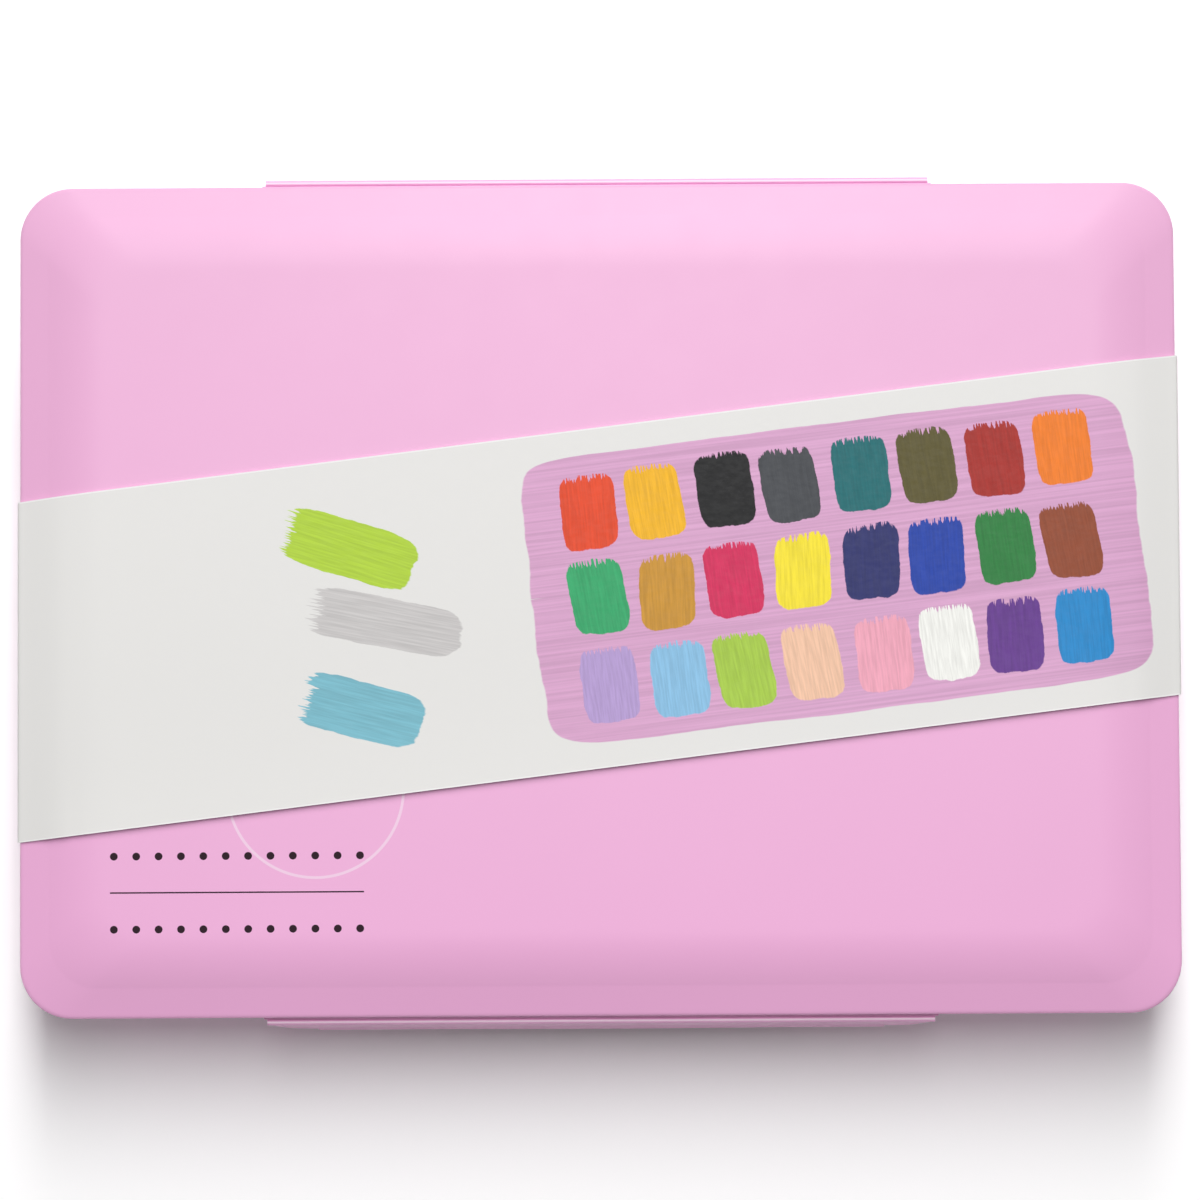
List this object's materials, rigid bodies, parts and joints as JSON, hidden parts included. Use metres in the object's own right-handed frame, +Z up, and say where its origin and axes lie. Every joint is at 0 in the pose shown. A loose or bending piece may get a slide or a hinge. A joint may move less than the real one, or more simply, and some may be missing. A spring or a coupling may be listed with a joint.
{
  "type": "gouache paint box",
  "caption": "Flat pink moulded paint box with a domed lid, snap flaps on its long sides, a slanted card band, and a deck of clear paint cups beside a brush trough.",
  "frame": {"origin": "middle of the box's underside, on the surface it stands on", "axes": "+X along the box's length, -Y to the front, where the brush trough lies, +Z up through the lid"},
  "size_m": [0.3454, 0.259, 0.0527],
  "materials": {
    "pink_plastic": "satin moulded",
    "white_card": "smooth coated card",
    "clear_cup": "clear",
    "pale_wood": "lacquered",
    "ferrule_metal": "polished",
    "nylon_bristle": "nylon hair",
    "paint_lilac": "moist gouache",
    "paint_light_blue": "moist gouache",
    "paint_yellow_green": "moist gouache",
    "paint_peach": "moist gouache",
    "paint_light_pink": "moist gouache",
    "paint_white": "moist gouache",
    "paint_violet": "moist gouache",
    "paint_cerulean": "moist gouache",
    "paint_emerald": "moist gouache",
    "paint_ochre": "moist gouache",
    "paint_rose_red": "moist gouache",
    "paint_lemon_yellow": "moist gouache",
    "paint_indigo": "moist gouache",
    "paint_ultramarine": "moist gouache",
    "paint_grass_green": "moist gouache",
    "paint_terracotta": "moist gouache",
    "paint_orange_red": "moist gouache",
    "paint_golden_yellow": "moist gouache",
    "paint_black": "moist gouache",
    "paint_dark_grey": "moist gouache",
    "paint_teal": "moist gouache",
    "paint_olive_umber": "moist gouache",
    "paint_brick_red": "moist gouache",
    "paint_orange": "moist gouache"
  },
  "bodies": {
    "base": {"case_base": "pink_plastic", "cup_deck": "pink_plastic", "cup_lilac": "clear_cup", "paint_lilac": "paint_lilac", "cup_light_blue": "clear_cup", "paint_light_blue": "paint_light_blue", "cup_yellow_green": "clear_cup", "paint_yellow_green": "paint_yellow_green", "cup_peach": "clear_cup", "paint_peach": "paint_peach", "cup_light_pink": "clear_cup", "paint_light_pink": "paint_light_pink", "cup_white": "clear_cup", "paint_white": "paint_white", "cup_violet": "clear_cup", "paint_violet": "paint_violet", "cup_cerulean": "clear_cup", "paint_cerulean": "paint_cerulean", "cup_emerald": "clear_cup", "paint_emerald": "paint_emerald", "cup_ochre": "clear_cup", "paint_ochre": "paint_ochre", "cup_rose_red": "clear_cup", "paint_rose_red": "paint_rose_red", "cup_lemon_yellow": "clear_cup", "paint_lemon_yellow": "paint_lemon_yellow", "cup_indigo": "clear_cup", "paint_indigo": "paint_indigo", "cup_ultramarine": "clear_cup", "paint_ultramarine": "paint_ultramarine", "cup_grass_green": "clear_cup", "paint_grass_green": "paint_grass_green", "cup_terracotta": "clear_cup", "paint_terracotta": "paint_terracotta", "cup_orange_red": "clear_cup", "paint_orange_red": "paint_orange_red", "cup_golden_yellow": "clear_cup", "paint_golden_yellow": "paint_golden_yellow", "cup_black": "clear_cup", "paint_black": "paint_black", "cup_dark_grey": "clear_cup", "paint_dark_grey": "paint_dark_grey", "cup_teal": "clear_cup", "paint_teal": "paint_teal", "cup_olive_umber": "clear_cup", "paint_olive_umber": "paint_olive_umber", "cup_brick_red": "clear_cup", "paint_brick_red": "paint_brick_red", "cup_orange": "clear_cup", "paint_orange": "paint_orange", "flat_brush_handle": "pale_wood", "flat_brush_ferrule": "ferrule_metal", "flat_brush_bristles": "nylon_bristle", "round_brush_handle": "pale_wood", "round_brush_ferrule": "ferrule_metal", "round_brush_bristles": "nylon_bristle"},
    "rear_flap": {"rear_flap": "pink_plastic"},
    "lid": {"lid": "pink_plastic"},
    "front_flap": {"front_flap": "pink_plastic"},
    "band": {"card_band": "white_card"}
  },
  "joints": [
    {"name": "lid_lift", "type": "slide", "parent": "base", "child": "rear_flap", "axis": [0, 0, 1], "range_m": [0, 0.1]},
    {"name": "lid_hinge", "type": "hinge", "parent": "rear_flap", "child": "lid", "pos_m": [0, 0.125, 0.043], "axis": [-1, 0, 0], "range_deg": [0, 110]},
    {"name": "front_flap_hinge", "type": "hinge", "parent": "lid", "child": "front_flap", "pos_m": [0, -0.125, 0.043], "axis": [-1, 0, 0], "range_deg": [0, 110]},
    {"name": "band_slide", "type": "slide", "parent": "lid", "child": "band", "axis": [0, -1, 0], "range_m": [0, 0.215]}
  ]
}
